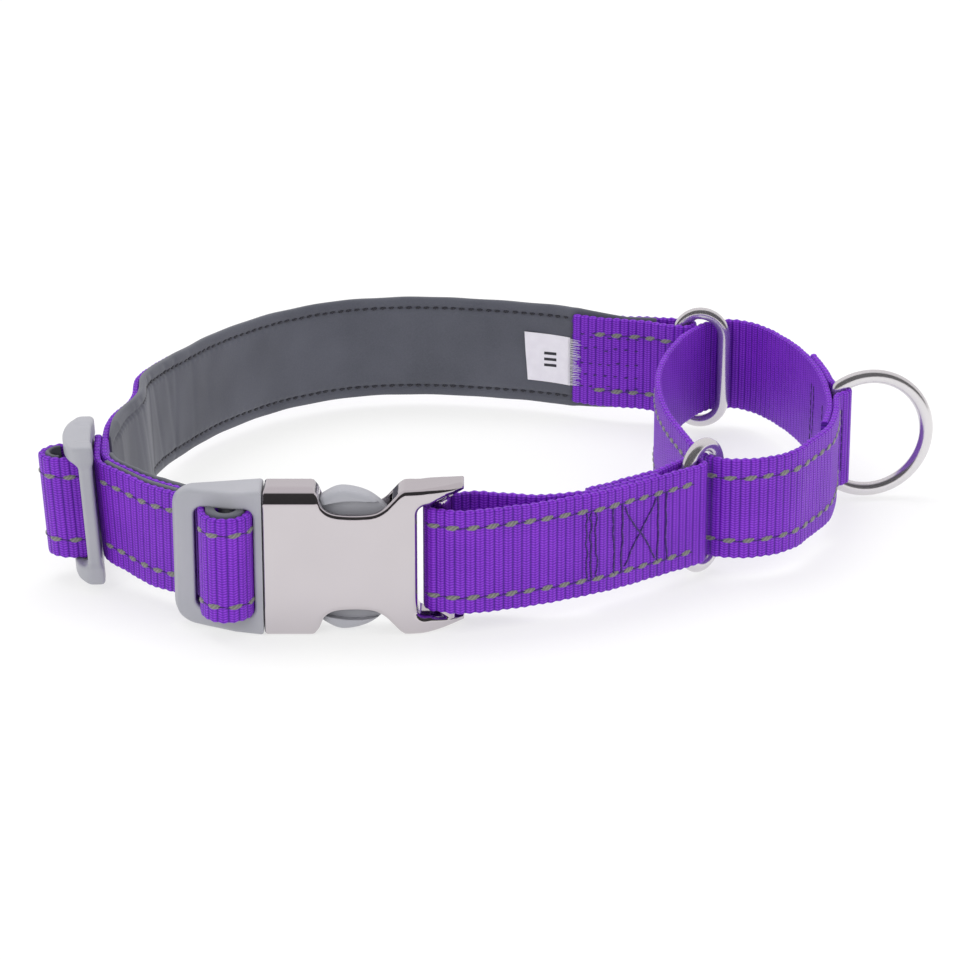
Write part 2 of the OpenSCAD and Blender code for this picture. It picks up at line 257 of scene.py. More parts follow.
class Mesh:
    """Collects parts of one piece."""

    def __init__(self):
        self.v, self.f, self.uv, self.n = [], [], [], 0

    def grid(self, pts, uv, closed_ends=True):
        """A tube from rows of points, pts (rows, around, 3), whose ends may close on their middles."""
        rows, around = pts.shape[:2]
        base = self.n
        self.v.append(pts.reshape(-1, 3))
        self.uv.append(uv.reshape(-1, 2))
        i = np.arange(rows - 1)[:, None] * around
        j = np.arange(around)[None]
        k = (j + 1) % around
        quads = np.stack([i + j, i + k, i + around + k, i + around + j], -1).reshape(-1, 4) + base
        self.f += quads.tolist()
        self.n += rows * around
        if closed_ends:
            for row, flip in ((0, True), (rows - 1, False)):
                self.v.append(pts[row].mean(0)[None])
                self.uv.append(uv[row].mean(0)[None])
                ring = [base + row * around + int(a) for a in range(around)]
                for a, b in zip(ring, ring[1:] + ring[:1]):
                    self.f.append([b, a, self.n] if flip else [a, b, self.n])
                self.n += 1

    def finish(self, name, *how, **more):
        finish_piece(add_mesh(name, np.vstack(self.v), self.f, np.vstack(self.uv)), *how, **more)


def section(half_w, half_t, steps, radius):
    """Half a strap's section from its lower to its upper edge: points, and place on the skin."""
    turn = np.linspace(0, math.pi / 2, 5)
    corner = np.stack([-half_t * np.sin(turn) ** 0.8,
                       -half_w + radius - radius * np.cos(turn) ** 0.8], 1)
    z = np.linspace(-half_w + radius, half_w - radius, steps + 1)[1:-1]
    face = np.stack([np.full_like(z, -half_t), z], 1)
    points = np.vstack([corner, face, (corner * [1, -1])[::-1]])
    skin = run_length(points)
    return points, skin - skin[-1] / 2


def strap(name, line, s0, s1, half_w=WEB_W / 2, half_t=HALF_T, steps=26, radius=0.8, shift=0.0,
          step=STEP, change=None):
    """A strap as a closed mesh. change(s, n, z) may move its section's points."""
    half, skin = section(half_w, half_t, steps, radius)
    count = len(half)
    n = np.concatenate([half[:, 0], -half[-2:0:-1, 0]])
    z = np.concatenate([half[:, 1], half[-2:0:-1, 1]])
    v = np.concatenate([skin, skin[-2:0:-1]])
    s = np.linspace(s0, s1, int((s1 - s0) / step) + 1)
    S, N = np.meshgrid(s, n, indexing="ij")
    Z = np.repeat(z[None], len(s), 0)
    if change is not None:
        S, N, Z = change(S, N, Z)
    around = len(n)
    pts = line.place(S, N + shift, Z)
    mesh = Mesh()
    uv = np.stack([S, np.repeat(v[None], len(s), 0)], -1)
    mesh.grid(pts, uv, closed_ends=False)
    for row, flip in ((0, True), (len(s) - 1, False)):
        base = row * around
        for k in range(count - 1):
            quad = [k, k + 1, (around - k - 1) % around, (around - k) % around]
            quad = [base + q for q in dict.fromkeys(quad)]
            mesh.f.append(quad if flip else quad[::-1])
    ends = ({*range(around)}, {*range((len(s) - 1) * around, len(s) * around)})
    return add_mesh(name, np.vstack(mesh.v), [f[::-1] for f in mesh.f], np.vstack(mesh.uv), sharp=ends)


def noise(x, seed, wave):
    """Smooth wavy values of one number, from -1 to 1."""
    r = np.random.default_rng(seed)
    total = 0
    for i in range(4):
        length = wave * (0.6 + 0.35 * i)
        total = total + np.sin(x * 2 * math.pi / length + r.uniform(0, 6.28)) / (1 + i)
    return total / 2.08


def woven(s0, s1, seed, start_cut, end_cut):
    """The webbing's ribs, scalloped edges, and thicker melted ends where it is cut."""
    def change(s, n, z):
        wide, narrow = np.abs(np.sin(math.pi * s / (2 * RIB))), np.abs(np.sin(math.pi * s / RIB))
        rib = 0.45 * wide ** 0.7 + 0.55 * narrow - 0.66
        face = unit(np.abs(n) / HALF_T) ** 3
        n = n + np.sign(n) * face * RELIEF * rib
        edge = unit((np.abs(z) - WEB_W / 2 + 2.0) / 2.0) ** 2
        loops = -SCALLOP * np.cos(2 * math.pi * s / (2 * RIB))
        uneven = 0.1 * noise(s + 40 * np.sign(z), seed, 13)
        z = z + np.sign(z) * edge * (loops + uneven) - 0.04 * np.sign(z) * edge
        z = z + 0.12 * noise(s, seed + 5, 45)
        for here, is_cut, way in ((s0, start_cut, -1), (s1, end_cut, 1)):
            if is_cut:
                d = np.abs(s - here)
                n = n * (1 + 0.1 * np.exp(-(d / 0.45) ** 2))
                s = s + way * np.exp(-(d / 0.5) ** 2) * 0.22 * noise(z, seed + 9, 3.4)
        return s, n, z
    return change


def dashes(mesh, line, s0, s1, z, side, lift=HALF_T, pitch=DASH_PITCH, long=DASH_LENGTH,
           half=DASH_HALF, tall=0.4, loose=0.05):
    """Leaf-shaped stitches along a face of a strap: side 1 is the line's left, -1 its right."""
    a = np.linspace(-1, 1, 19)[:, None]
    b = circle(14)[None]
    count = int(round((s1 - s0) / pitch))
    gap = (s1 - s0) / max(count, 1)
    for i in range(count):
        centre = s0 + (i + 0.5) * gap + rng.uniform(-0.12, 0.12)
        length = long / 2 * rng.uniform(0.93, 1.05)
        leaf = unit(1 - np.abs(a) ** 2.3) ** 0.62
        width = half * rng.uniform(0.9, 1.08) * leaf + 0.05
        height = tall * unit(1 - a**2) ** 0.5 + 0.05
        ply = 1 + 0.07 * np.cos(2 * b + 7 * a)
        up = np.sin(b)
        n = lift - 0.12 + height * np.where(up > 0, up, 0.35 * up) * ply
        tilt = (-0.16 * a * side + 0.12 * a**2) * half / DASH_HALF
        zz = z + width * np.cos(b) * ply + tilt + rng.uniform(-loose, loose)
        s = centre + a * length + 0 * b
        uv = np.stack([s, z + b * 0.4 + 0 * s], -1)
        pts = line.place(s, side * (n + 0 * s), zz)
        mesh.grid(pts if side < 0 else pts[:, ::-1], uv)


def thread(mesh, line, s, z, side, lift=HALF_T, radius=0.2, stitch=2.3, wander=0.1, dip=0.16):
    """Sewing thread along a face of a strap, through knots (s, z), that dips at every stitch."""
    s, z = np.asarray(s, float), np.asarray(z, float)
    run = np.concatenate([[0], np.cumsum(np.hypot(np.diff(s), np.diff(z)))])
    t = np.arange(0, run[-1], 0.22)
    ss, zz = np.interp(t, run, s), np.interp(t, run, z)
    ds, dz = np.gradient(ss), np.gradient(zz)
    size = np.hypot(ds, dz)
    ds, dz = ds / size, dz / size
    phase = t / stitch
    count = int(phase[-1]) + 3
    jitter = np.interp(phase, np.arange(count), rng.uniform(-wander, wander, count))
    ss, zz = ss - dz * jitter, zz + ds * jitter
    dive = np.abs(2 * (phase % 1) - 1) ** 4
    n = lift + 0.05 - dip * dive
    b = circle(8)[None]
    r = radius * (1 - 0.35 * dive)[:, None]
    across = r * np.cos(b)
    pts = line.place(ss[:, None] - dz[:, None] * across, side * (n[:, None] + r * np.sin(b)),
                     zz[:, None] + ds[:, None] * across)
    uv = np.stack([t[:, None] + 0 * b, b * 0.3 + 0 * t[:, None]], -1)
    mesh.grid(pts if side < 0 else pts[:, ::-1], uv)


def row_thread(mesh, line, s0, s1, z, side):
    """The thin dark thread that joins one row's dashes."""
    s = np.arange(s0, s1, 0.5)
    wave = 0.13 * np.sin(2 * math.pi * (s - s0) / DASH_PITCH)
    thread(mesh, line, s, z + wave, side, radius=0.17, stitch=DASH_PITCH, wander=0.06, dip=0.1)


# ---- Solid shapes as distance fields ----
def polygon_distance(x, y, poly):
    """Distance to a polygon, negative inside."""
    x, y = np.broadcast_arrays(x, y)
    best = np.full(x.shape, 1e18)
    inside = np.zeros(x.shape, bool)
    for (ax, ay), (bx, by) in zip(poly, np.roll(poly, -1, axis=0)):
        ex, ey = bx - ax, by - ay
        wx, wy = x - ax, y - ay
        t = unit((wx * ex + wy * ey) / max(ex * ex + ey * ey, 1e-12))
        best = np.minimum(best, (wx - t * ex) ** 2 + (wy - t * ey) ** 2)
        cross = ((ay <= y) & (by > y)) | ((by <= y) & (ay > y))
        inside ^= cross & (x < ax + (y - ay) * ex / (ey if ey else 1e-12))
    return np.where(inside, -1, 1) * np.sqrt(best)


def both(a, b, r=0.6):
    """Where two shapes overlap, with its edges rounded to radius r."""
    return np.minimum(-r, np.maximum(a, b)) + np.hypot(np.maximum(r + a, 0), np.maximum(r + b, 0))


def either(a, b, r=0.6):
    """Two shapes joined, with a fillet of radius r."""
    return -both(-a, -b, r)


def slab(x, low, high):
    return np.maximum(low - x, x - high)


def cut_to(*shapes):
    """Where all shapes overlap, with sharp edges."""
    return functools.reduce(np.maximum, shapes)


def rounded_block(x, y, low, high, r):
    """Distance to a rectangle with rounded corners."""
    cx, cy = (low[0] + high[0]) / 2, (low[1] + high[1]) / 2
    qx = np.abs(x - cx) - (high[0] - low[0]) / 2 + r
    qy = np.abs(y - cy) - (high[1] - low[1]) / 2 + r
    return np.hypot(np.maximum(qx, 0), np.maximum(qy, 0)) + np.minimum(np.maximum(qx, qy), 0) - r


def smooth_outline(knots):
    """A smooth curve through knots, its ends among them."""
    k = np.array(knots, float)
    return spline(np.vstack([k[:1], k, k[-1:]]))


def solid(name, field, low, high, place, cell=0.28, mirrored=False):
    """Turns a distance field into a closed quad mesh on its surface, between low and high.

    place(points, normals) takes it to the row's axes; mirrored says that this flips it over.
    """
    low, high = np.array(low, float) - 2 * cell, np.array(high, float) + 2 * cell
    axes = [np.arange(a, b + cell, cell) for a, b in zip(low, high)]
    f = field(axes[0][:, None, None], axes[1][None, :, None], axes[2][None, None, :])
    f = np.broadcast_to(f, [len(a) for a in axes])
    cells = [len(a) - 1 for a in axes]
    total, count = np.zeros(cells + [3]), np.zeros(cells)
    quads = []
    ids = np.arange(np.prod(cells)).reshape(cells)
    for axis in range(3):
        o = [(axis + 1) % 3, (axis + 2) % 3]
        a = np.take(f, range(f.shape[axis] - 1), axis)
        b = np.take(f, range(1, f.shape[axis]), axis)
        where = np.argwhere((a < 0) != (b < 0))
        fa, fb = a[tuple(where.T)], b[tuple(where.T)]
        point = where.astype(float)
        point[:, axis] += fa / (fa - fb)
        around = []
        for da, db in ((0, 0), (-1, 0), (-1, -1), (0, -1)):
            c = where.copy()
            c[:, o[0]] += da
            c[:, o[1]] += db
            np.add.at(total, tuple(c.T), point)
            np.add.at(count, tuple(c.T), 1)
            around.append(ids[tuple(c.T)])
        q = np.stack(around, 1)
        q[fa < 0] = q[fa < 0][:, ::-1]
        quads.append(q)
    quads = np.vstack(quads)[:, ::-1]
    used, index = np.unique(quads, return_inverse=True)
    quads = index.reshape(quads.shape)
    v = total.reshape(-1, 3)[used] / count.reshape(-1)[used][:, None] * cell + low
    h = 0.02

    def slope(p):
        g = np.stack([field(*(p + h * e).T) - field(*(p - h * e).T) for e in np.eye(3)], 1) / (2 * h)
        return g, np.linalg.norm(g, axis=1, keepdims=True)
    for _ in range(3):      # walk every point onto the surface
        g, size = slope(v)
        walk = np.clip(field(*v.T)[:, None] / np.maximum(size, 0.2), -0.3, 0.3)
        v = v - walk * g / np.maximum(size, 1e-6)
    g, size = slope(v)
    v, normals = place(v, g / np.maximum(size, 1e-6))
    return add_mesh(name, v, quads[:, ::-1] if mirrored else quads, normals=normals)


# ---- Materials ----
class Nodes:
    """Builds a node tree. Numbers in it can be added and multiplied like plain ones."""

    def __init__(self, owner):
        owner.use_nodes = True
        self.tree = owner.node_tree
        self.link = self.tree.links.new

    def node(self, kind, **fields):
        made = self.tree.nodes.new(kind)
        for key, value in fields.items():
            setattr(made, key, value)
        return made

    def plug(self, socket, value):
        if isinstance(value, Value):
            self.link(value.socket, socket)
        else:
            socket.default_value = (*value, 1) if isinstance(value, tuple) else value

    def math(self, kind, *values):
        made = self.node("ShaderNodeMath", operation=kind)
        for socket, value in zip(made.inputs, values):
            self.plug(socket, value)
        return Value(self, made.outputs[0])

    def ramp(self, value, *stops):
        made = self.node("ShaderNodeValToRGB")
        self.plug(made.inputs[0], value)
        elements = made.color_ramp.elements
        while len(elements) < len(stops):
            elements.new(0.5)
        for element, (place, colour) in zip(elements, stops):
            element.position = place
            element.color = (*colour, 1)
        return Value(self, made.outputs[0])


class Look(Nodes):
    """Builds one material."""

    def __init__(self, name, **settings):
        self.material = bpy.data.materials.new(name)
        super().__init__(self.material)
        self.shader = self.tree.nodes["Principled BSDF"]
        self.set(**settings)

    def set(self, **settings):
        for key, value in settings.items():
            self.plug(self.shader.inputs[key.replace("_", " ")], value)

    def uv(self):
        """Distance along and across a strap in mm."""
        split = self.node("ShaderNodeSeparateXYZ")
        self.link(self.node("ShaderNodeUVMap", uv_map="UVMap").outputs[0], split.inputs[0])
        return Value(self, split.outputs[0]) * 100, Value(self, split.outputs[1]) * 100

    def noise(self, place, scale, detail):
        made = self.node("ShaderNodeTexNoise")
        made.inputs["Scale"].default_value = scale
        made.inputs["Detail"].default_value = detail
        self.link(place, made.inputs["Vector"])
        return Value(self, made.outputs[0])

    def grain(self, scale, detail, stretch=None):
        """Noise over the object's own space, scale in waves per metre."""
        place = self.node("ShaderNodeTexCoord").outputs["Object"]
        if stretch:
            mapping = self.node("ShaderNodeMapping")
            mapping.inputs["Scale"].default_value = stretch
            self.link(place, mapping.inputs[0])
            place = mapping.outputs[0]
        return self.noise(place, scale, detail)

    def flat_noise(self, u, v, scale):
        """Noise over two numbers."""
        join = self.node("ShaderNodeCombineXYZ")
        self.plug(join.inputs[0], u)
        self.plug(join.inputs[1], v)
        return self.noise(join.outputs[0], scale, 2.0)

    def bump(self, height, depth, strength):
        """Relief from a height of 0 to 1 that stands for depth mm."""
        made = self.node("ShaderNodeBump")
        made.inputs["Strength"].default_value = strength
        made.inputs["Distance"].default_value = depth * MM
        self.plug(made.inputs["Height"], height)
        self.link(made.outputs[0], self.shader.inputs["Normal"])


class Value:
    """A number or colour that comes out of a node."""

    def __init__(self, look, socket):
        self.look, self.socket = look, socket


for method, kind in (("__add__", "ADD"), ("__sub__", "SUBTRACT"), ("__mul__", "MULTIPLY"),
                     ("sine", "SINE"), ("power", "POWER"), ("size", "ABSOLUTE")):
    setattr(Value, method, lambda self, *other, kind=kind: self.look.math(kind, self, *other))


def srgb(r, g, b):
    """A screen colour of 0 to 255 as linear values."""
    return tuple(((c / 255 + 0.055) / 1.055) ** 2.4 if c > 10 else c / 255 / 12.92 for c in (r, g, b))


def webbing_look():
    look = Look("purple_webbing", Roughness=0.5, Sheen_Weight=0.25, Sheen_Roughness=0.4,
                Sheen_Tint=srgb(190, 120, 255), Specular_IOR_Level=0.35)
    u, v = look.uv()
    slip = (look.flat_noise(u, v, 0.35) - 0.5) * 0.9
    side = look.math("PINGPONG", u, RIB) * (1 / RIB)
    wide = (u * (math.pi / (2 * RIB))).sine().size().power(0.6)
    ridge = wide * 0.45 + (u * (math.pi / RIB)).sine().size() * 0.55
    stripe = ((v * (1 / YARN) + side * 0.6 + slip) * (2 * math.pi)).sine() * 0.5 + 0.5
    fine = look.flat_noise(u * 3.0, v, 2.2)
    # Painted highlight and painted shade: the crests of the ribs and yarn rows are painted lighter and
    # the grooves between them darker, on top of the bump relief. The noise adds random tone.
    dash = ridge.power(0.85) * (stripe * 0.62 + 0.38)
    tone = dash + (fine - 0.5) * 0.45 + (look.flat_noise(u, v, 0.09) - 0.5) * 0.3
    look.set(Base_Color=look.ramp(tone, (0.02, srgb(58, 4, 124)), (0.42, srgb(103, 18, 177)),
                                  (0.95, srgb(145, 58, 217))))
    look.bump(ridge * 0.5 + dash * 0.45 + fine * 0.12, 0.24, 0.85)
    return look.material


def lining_look():
    look = Look("grey_neoprene", Roughness=0.75, Sheen_Weight=0.2, Sheen_Roughness=0.5,
                Specular_IOR_Level=0.3)
    wide = look.grain(60, 2)
    fine = look.grain(2600, 3)
    tone = wide * 0.6 + fine * 0.4
    look.set(Base_Color=look.ramp(tone, (0.3, srgb(78, 80, 88)), (0.7, srgb(93, 95, 104))))
    look.bump(fine * 0.7 + look.grain(600, 2, (1, 1, 0.25)) * 0.5, 0.06, 0.6)
    return look.material


def thread_look(name, low, high, rough=0.5, twist=9.0):
    """A twisted thread between two colours."""
    look = Look(name, Roughness=rough, Sheen_Weight=0.15, Specular_IOR_Level=0.4)
    u, v = look.uv()
    ply = ((u * twist + v * 9.0)).sine() * 0.5 + 0.5
    grain = look.grain(5200, 2)
    look.set(Base_Color=look.ramp(ply * 0.4 + grain * 0.6, (0.15, srgb(*low)), (0.85, srgb(*high))))
    look.bump(ply, 0.08, 0.8)
    return look.material


def plastic_look():
    look = Look("satin_grey_plastic", Roughness=0.36, Specular_IOR_Level=0.45)
    fine, wide = look.grain(3800, 2), look.grain(90, 2)
    look.set(Base_Color=look.ramp(wide, (0.3, srgb(160, 161, 168)), (0.7, srgb(168, 168, 175))),
             Roughness=fine * 0.12 + wide * 0.1 + 0.27)
    look.bump(fine, 0.012, 0.5)
    return look.material


def metal_look(name, tint, rough, metal=1.0):
    """A metal with a faintly uneven polish."""
    look = Look(name, Metallic=metal, Roughness=rough)
    wide, fine = look.grain(70, 2), look.grain(5000, 2)
    look.set(Base_Color=look.ramp(wide, (0.3, tuple(0.97 * c for c in tint)), (0.7, tint)),
             Roughness=wide * 0.04 + fine * 0.03 + rough)
    look.bump(wide, 0.01, 0.25)
    return look.material


def label_look():
    look = Look("white_woven_tape", Roughness=0.7, Sheen_Weight=0.2)
    u, v = look.uv()
    weave = (u * 14).sine() * (v * 14).sine() * 0.5 + 0.5
    look.set(Base_Color=look.ramp(weave * 0.5 + look.grain(400, 2) * 0.5, (0.2, srgb(222, 219, 226)),
                                  (0.8, srgb(242, 240, 245))))
    look.bump(weave, 0.05, 0.5)
    return look.material


# Each look is a material and the record's slot it stands for
WEBBING, LINING = (webbing_look(), "purple_webbing"), (lining_look(), "grey_lining")
PLASTIC, LABEL = (plastic_look(), "grey_plastic"), (label_look(), "white_label")
REFLECTIVE = (thread_look("reflective_thread", (94, 94, 92), (140, 140, 135), 0.45, 6.0),
              "reflective_thread")
DARK = thread_look("dark_purple_thread", (40, 8, 84), (62, 16, 118)), "dark_thread"
BLACK = thread_look("charcoal_thread", (36, 36, 42), (58, 58, 66), 0.6), "dark_thread"
SHELL_METAL = metal_look("polished_shell", (0.60, 0.56, 0.585), 0.06), "polished_metal"
RING_METAL = metal_look("polished_ring", (0.74, 0.72, 0.735), 0.17, 0.9), "polished_metal"


def finish_piece(obj, look, body=None, replaces=(), bend=None, squash=None):
    """Gives a piece its material and its body, or with bend bakes its place into its mesh, and hides
    the CAD nodes it stands for.
    """
    material, slot = look
    obj.data.materials.append(material)
    if replaces:
        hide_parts(*replaces)
    if bend:
        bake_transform(obj)
    else:
        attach(obj, body)
    if squash:
        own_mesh(obj)


# ---- Webbing ----
joint_at = {j["name"]: np.array(j["pos_m"]) / MM for j in frame["joints"] if j.get("pos_m")}
BEND_BEFORE, BEND_AFTER = 8, 5  # the strap bends between these distances before and after its joint
corner = Line(np.vstack([back.p[::12], adjuster.p[::12]]), sigma=0.6)
corner_s = corner.near(joint_at["cinch"][:2], before=back.length + 10)
BEND = ("back_strap", "adjuster", *[(*(p * MM), MID_Z * MM) for p in
                                    corner.at([corner_s - BEND_BEFORE, corner_s + BEND_AFTER])[0]])

# The back strap and the adjuster are one line of webbing, and its pieces part at cut
whole = Line(np.vstack([back.p[:-1:10], adjuster.p[::10]]), sigma=0.6)
cut = whole.near(back.at(back.length - 9.0)[0], after=back.length - 20, before=back.length + 5)
WINDOW_WEB = np.array([-58.6, -61.2]) + SHIFT[:2]  # the webbing's middle in the buckle's window
whole = whole.pushed(whole.near(WINDOW_WEB, after=cut + 30), 2.3, 7.5)
bulge = whole.near(WINDOW_WEB, after=cut + 30)


def webbing(name, line, s0, s1, seed, body, node, cuts=(True, True), **extra):
    finish_piece(strap(name, line, s0, s1, change=woven(s0, s1, seed, *cuts)), WEBBING, body, [node],
                 **extra)


webbing("back_strap_webbing", whole, 0, cut, 1, "back_strap", "back_webbing", (True, False))
webbing("adjuster_strap_webbing", whole, cut, whole.length, 1, None, "adjuster_webbing", (False, True),
        bend=BEND)
webbing("front_strap_webbing", front, 0, front.length, 3, "front_strap", "front_webbing")
LOOP_KEPT = 0.664  # share of the loop's depth left when the collar is drawn tight
SQUASH = ("cinch", (0, 1, 0), (0, joint_at["leash_ring_swing"][1] * MM, 0), LOOP_KEPT)
webbing("control_loop_strap", loop, 0, loop.length, 4, "control_loop", "control_loop_webbing",
        squash=SQUASH)
slider_line = Line(centre_line("slider_webbing", (0, -1)))
webbing("slider_strap_webbing", slider_line, 0, slider_line.length, 6, "slider", "slider_webbing",
        (False, False))


# ---- Padding and linings ----
pad_low, pad_high = box_mm("neck_padding")
PAD_HALF = (pad_high[2] - pad_low[2]) / 2
SEAM_Z = PAD_HALF - 3.0  # height of the padding's seams above its middle
PAD_T, PRESSED_T = 2.6, 1.2  # thickness of the padding, and under the strap's sewn end
pad_from = whole.near((pad_high[0], 72), after=34, before=75) - 7
pad_to = back.length + 21
tail_cut = whole.near(whole.p[0], after=40)  # where the strap's sewn end stops


SEAM_PITCH = 2.55  # distance between two stitches of the padding's seams


def wrinkles(s, z):
    """Soft slanting creases where the padding turns the sharp left bend."""
    total = 0
    for i in range(9):
        at = back.length - 6 - 7.3 * i + 2.5 * math.sin(2.3 * i)
        lean = 0.18 * math.sin(1.7 * i + 0.4) + 0.1
        depth = 0.3 * math.exp(-((i - 3) / 4.0) ** 2) * (1 if i % 2 else 0.75)
        total = total - depth * np.exp(-((s - at - lean * z) / (1.1 + 0.25 * (i % 3))) ** 2)
    return total


def pad_shape(s, n, z):
    """The pad: a flat panel between two seams, with rounded rims outside them."""
    end = unit((pad_to - s) / 9) ** 0.7
    soft = smooth(unit((s - tail_cut) / 2.6 + 0.5)) * end
    thick = (PRESSED_T + (PAD_T - PRESSED_T) * soft) * (0.4 + 0.6 * end)
    seam = np.exp(-((np.abs(z) - SEAM_Z) / 0.55) ** 2)
    rim = unit((np.abs(z) - SEAM_Z) / (PAD_HALF - SEAM_Z))
    crown = 0.18 * (1 - unit(np.abs(z) / SEAM_Z) ** 4)
    by_seam = np.exp(-((np.abs(z) - SEAM_Z + 0.5) / 0.9) ** 2)
    pucker = 0.07 * np.sin(2 * math.pi * s / SEAM_PITCH) * by_seam
    creases = wrinkles(s, z) * (np.abs(z) < PAD_HALF - 0.5)
    face = -soft * (0.75 * seam + 0.55 * rim**2) + crown * soft - 0.18 * soft + pucker * soft \
        + creases * soft + 0.08 * noise(s + z * 0.3, 21, 17) * soft
    height = n / PAD_T + 0.5
    n = height * thick + face * unit(2 * height - 1)
    z = z + np.sign(z) * rim * (0.1 * noise(s, 31, 24) - 0.1)
    return s, n, z * (1 - 0.085 * unit((tail_cut - s) / 14) - 0.09 * (1 - end))


pad_base = HALF_T + 0.12
for name, a, b, body, replaces, bend in (
        ("neck_padding_pad", pad_from, cut, "back_strap", ["neck_padding"], None),
        ("neck_padding_end", cut, pad_to, None, [], BEND)):
    pad = strap(name, whole, a, b, half_w=PAD_HALF, half_t=PAD_T / 2, steps=50, radius=1.0,
                shift=pad_base, step=0.4, change=pad_shape)
    finish_piece(pad, LINING, body, replaces, bend)


def lining(name, node, toward, body, half_t):
    """A thin strip of the same padding behind a layer of webbing."""
    line = Line(centre_line(node, toward), sigma=0.4)
    low, high = box_mm(node)

    def change(s, n, z):
        thin = np.exp(-(np.minimum(s, line.length - s) / 0.7) ** 2)
        return s, n * (1 - 0.25 * thin), z + np.sign(z) * 0.1 * noise(s, 51, 8)
    piece = strap(name, line, 0, line.length, half_w=(high[2] - low[2]) / 2 + 0.1, half_t=half_t,
                  steps=20, radius=0.5, step=0.4, change=change)
    finish_piece(piece, LINING, body, [node])


lining("adjuster_inner_strip", "adjuster_inner_lining", (0, 1), "adjuster", 0.7)
outer_from = whole.near((-76.7, -71.5), after=bulge + 5)
outer_to = whole.near((-96.2, -55), after=bulge + 20)
for name, a, b, wider, half_t, replaces in (
        ("adjuster_outer_strip", outer_from, outer_to, 0.15, 0.7, ["adjuster_outer_lining"]),
        ("frame_inner_strip", bulge - 11, bulge + 11, 0.5, 1.1, [])):
    piece = strap(name, whole, a, b, half_w=WEB_W / 2 + wider, half_t=half_t, steps=20, radius=0.5,
                  step=0.4, shift=-HALF_T - 0.05 - half_t)
    finish_piece(piece, LINING, "adjuster", replaces)
lining("slider_inner_strip", "slider_lining", (0, 1), "slider", 0.5)


# ---- Stitching ----
def rows(name, thread_name, spans, body, replaces=(), bend=None, squash=None):
    """Pairs of rows of reflective dashes and their thread, over spans (line, s0, s1, side, height)."""
    grey, dark = Mesh(), Mesh()
    for line, s0, s1, side, row in spans:
        for z in (-row, row):
            dashes(grey, line, s0, s1, z, side)
            row_thread(dark, line, s0, s1, z, side)
    grey.finish(name, REFLECTIVE, body, replaces, bend, squash)
    dark.finish(thread_name, DARK, body, (), bend, squash)


ring_side = whole.near((web_high[0] - 0.5, 67), after=15, before=60)
rows("back_reflective_rows", "back_row_thread",
     [(whole, ring_side + 6, cut, -1, ROW_Z), (whole, 5.5, ring_side - 7, -1, ROW_Z)],
     "back_strap", ["back_reflective_thread"])
rows("adjuster_reflective_rows", "adjuster_row_thread",
     [(whole, cut + 0.8, cut + 33, -1, ROW_Z),
      (whole, bulge - 9.4, bulge + 9.4, 1, ROW_Z + 0.7),
      (whole, bulge + 19, whole.length - 20, 1, ROW_Z)],
     None, ["adjuster_reflective_thread"], bend=BEND)
rows("slider_reflective_rows", "slider_row_thread",
     [(slider_line, 2.5, slider_line.length - 2.5, 1, ROW_Z)],
     "slider", ["slider_reflective_thread"])
front_from = front.near((-12.5, -84), after=60) - 5.5
front_to = front.near((41.5, -58.5), after=60) + 6
rows("front_reflective_rows", "front_row_thread", [(front, front_from, front_to, -1, ROW_Z + 0.6)],
     "front_strap", ["front_reflective_thread"])
bar_s = loop.near((97, joint_at["leash_ring_swing"][1] - 7), after=loop.length - 60)
rows("loop_reflective_rows", "loop_row_thread",
     [(loop, 62.5, bar_s - 4, -1, ROW_Z), (loop, loop.length - 22, loop.length - 3, -1, ROW_Z)],
     "control_loop", ["loop_reflective_thread"], squash=SQUASH)

# Stitches of the padding's two seams, in their grooves
seams = Mesh()
for z in (-SEAM_Z, SEAM_Z):
    dashes(seams, whole, tail_cut + 1.5, cut - 1, z, 1, lift=pad_base + PAD_T - 0.68,
           pitch=SEAM_PITCH, long=1.85, half=0.42, tall=0.3, loose=0.06)
seams.finish("padding_seam_stitches", BLACK, "back_strap", ["padding_stitching"])

# The tail's sewing: rows of short stitches that wander a little
tail_rows = Mesh()
for i in range(5):
    z = -7 + 3.5 * i
    dashes(tail_rows, whole, 1.5 + 0.9 * (i % 2), 19.5, z + 0.3 * math.sin(5 * i), -1,
           pitch=2.7, long=1.3, half=0.24, tall=0.2, loose=0.55)
tail_rows.finish("tail_stitches", DARK, "back_strap", ["back_tail_stitching"])


def fibres(mesh, line, s, way, zs, n, radius, low, high, spread=0.5):
    """Loose yarn ends of lengths low to high that stand out of a cut edge at heights zs."""
    t = np.linspace(0, 1, 6)[:, None]
    b = circle(6)[None]
    for z in zs:
        length, bend, lift = rng.uniform(low, high), rng.uniform(-spread, spread), rng.uniform(0, 0.35)
        r = radius * (1 - 0.6 * t)
        pts = line.place(s - way * 0.4 + way * (length + 0.4) * t + 0 * b,
                         n + lift * t**2 + r * np.sin(b), z + bend * t**2 + r * np.cos(b))
        mesh.grid(pts, np.stack([t * length + 0 * b, 0 * t + b], -1))


frays = Mesh()
fibres(frays, whole, 0.2, -1, rng.uniform(-12.2, 12.2, 90), -0.2, 0.11, 0.3, 1.1)
fibres(frays, whole, 0.2, -1, rng.uniform(-12.2, 12.2, 60), 0.35, 0.11, 0.3, 0.9)
frays.finish("tail_frayed_ends", WEBBING, "back_strap")
loop_frays = Mesh()
fibres(loop_frays, loop, loop.length - 0.2, 1, rng.uniform(-12.2, 12.2, 60), -0.2, 0.11, 0.2, 0.7)
loop_frays.finish("loop_frayed_ends", WEBBING, "control_loop", squash=SQUASH)

# ---- Size label, with three plain bars as its mark ----
label_low, label_high = box_mm("size_label")
LABEL_HALF = (label_high[2] - label_low[2]) / 2
label_s0 = whole.near((label_high[0], label_low[1]), after=45)
label_s1 = label_s0 + (label_high[0] - label_low[0]) + 0.8
label_n = pad_base + PAD_T + 0.14


